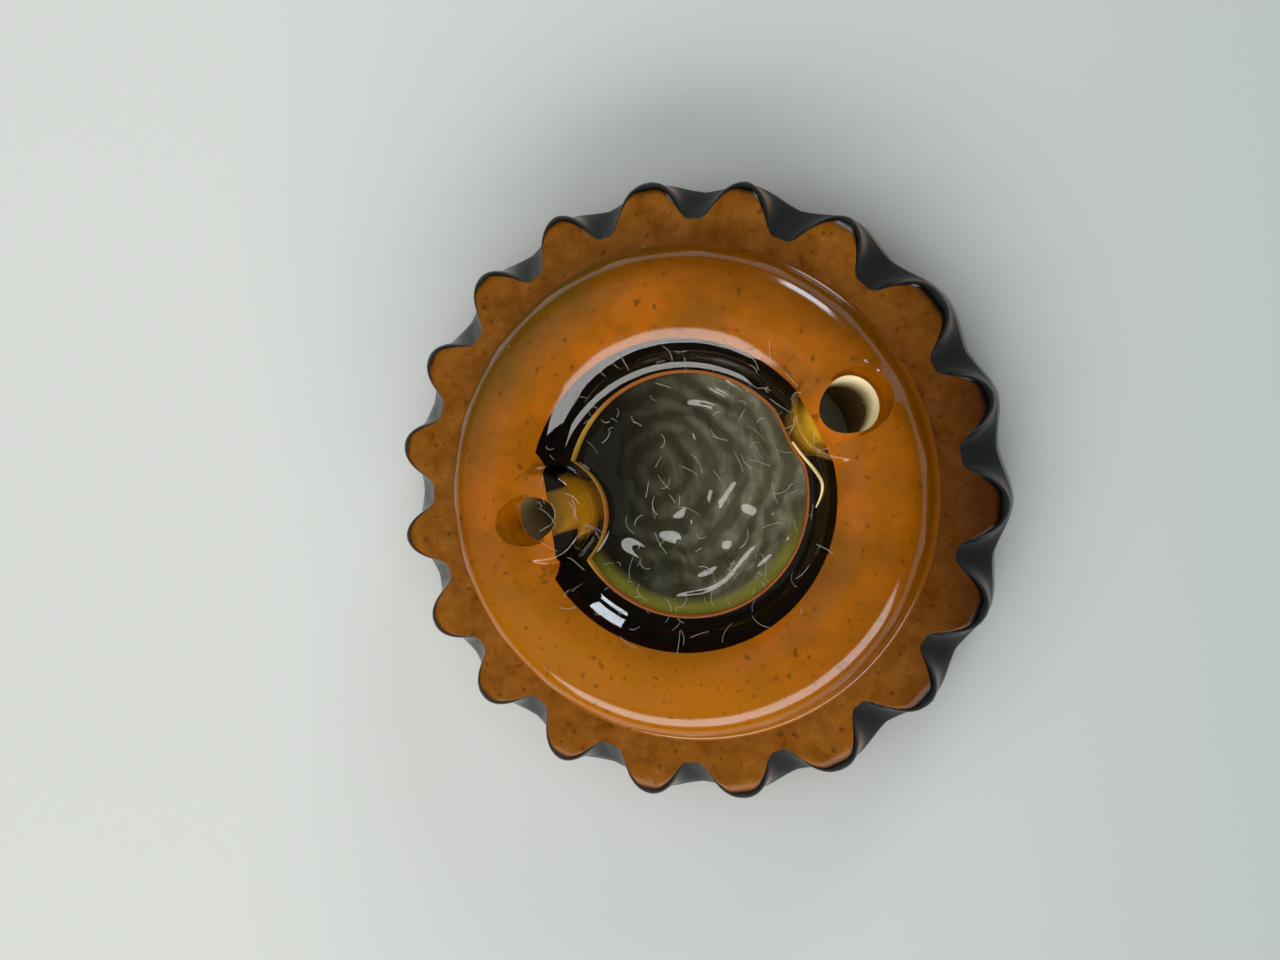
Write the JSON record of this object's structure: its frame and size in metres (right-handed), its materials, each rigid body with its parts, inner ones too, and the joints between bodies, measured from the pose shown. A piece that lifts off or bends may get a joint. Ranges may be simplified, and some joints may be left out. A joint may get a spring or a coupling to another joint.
{
  "type": "button",
  "caption": "Round carved coat button with a fluted rim, a raised ring, a clear inlaid centre and slanting thread holes.",
  "frame": {"origin": "middle of the plane that the front's rim rests on", "axes": "+Z is the button's axis, from its front, which faces down, to its back; +X points roughly at the larger thread hole"},
  "size_m": [0.0339, 0.0338, 0.0086],
  "materials": {
    "amber_resin": "transparent amber cast phenolic, polished on the raised ring, duller and lightly scratched on the rim",
    "cement": "hardened orange cement, a thin line",
    "clear_resin": "clear cast phenolic aged to olive, glossy, with a wavy surface"
  },
  "bodies": {
    "root": {"carved_ring": "amber_resin", "cement_film": "cement", "clear_centre": "clear_resin"}
  },
  "joints": []
}
